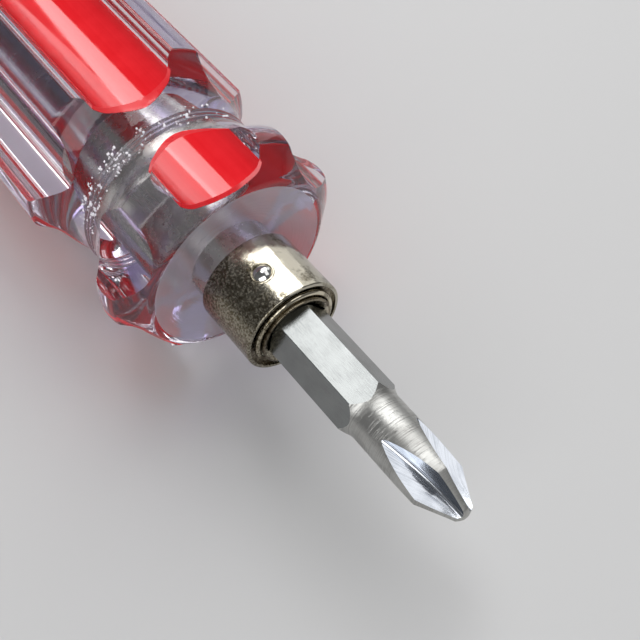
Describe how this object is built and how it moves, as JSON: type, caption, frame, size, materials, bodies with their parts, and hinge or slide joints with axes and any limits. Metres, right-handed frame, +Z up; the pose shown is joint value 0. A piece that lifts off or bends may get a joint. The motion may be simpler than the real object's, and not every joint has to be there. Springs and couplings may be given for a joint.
{
  "type": "retractable screwdriver",
  "caption": "Pocket screwdriver whose hexagon blade slides into a clear fluted handle with red inlays, held by a sprung quick-release sleeve.",
  "frame": {"origin": "middle of the whole tool's length and width, on the surface that the handle lies on", "axes": "+X along the tool towards the cross tip, +Z up, with the tool lying on its handle and one red inlay on top"},
  "size_m": [0.135, 0.0276, 0.0254],
  "materials": {
    "clear_plastic": "clear polished cellulose plastic with a faint violet tint",
    "red_plastic": "opaque polished red plastic",
    "nickel": "bright nickel plating, warm in tone, lightly worn",
    "satin_steel": "satin hexagon bar with a ground and polished tip",
    "spring_steel": "dark drawn spring wire",
    "ball_steel": "polished bearing ball"
  },
  "bodies": {
    "root": {"handle": "clear_plastic", "grip_inlay_1": "red_plastic", "grip_inlay_2": "red_plastic", "grip_inlay_3": "red_plastic", "knob_inlay_1": "red_plastic", "knob_inlay_2": "red_plastic", "knob_inlay_3": "red_plastic", "socket_body": "nickel", "retaining_ring": "nickel", "sleeve_spring": "spring_steel"},
    "sleeve": {"release_sleeve": "nickel", "key_ball": "ball_steel"},
    "lock": {"lock_ball": "ball_steel"},
    "blade": {"blade": "satin_steel"}
  },
  "joints": [
    {"name": "blade_slide", "type": "slide", "parent": "root", "child": "blade", "axis": [1, 0, 0], "range_m": [0, 0.061]},
    {"name": "sleeve_slide", "type": "slide", "parent": "root", "child": "sleeve", "axis": [-1, 0, 0], "range_m": [0, 0.0015], "stiffness_N_per_m": 1500, "springref_m": -0.0015, "deforming": ["sleeve_spring"]},
    {"name": "lock_ball_lift", "type": "slide", "parent": "root", "child": "lock", "axis": [0, 0.1478, -0.989], "range_m": [0, 0.00047]}
  ],
  "couplings": [
    {"joint": "lock_ball_lift", "follows": "sleeve_slide", "ratio": 0.31333}
  ]
}
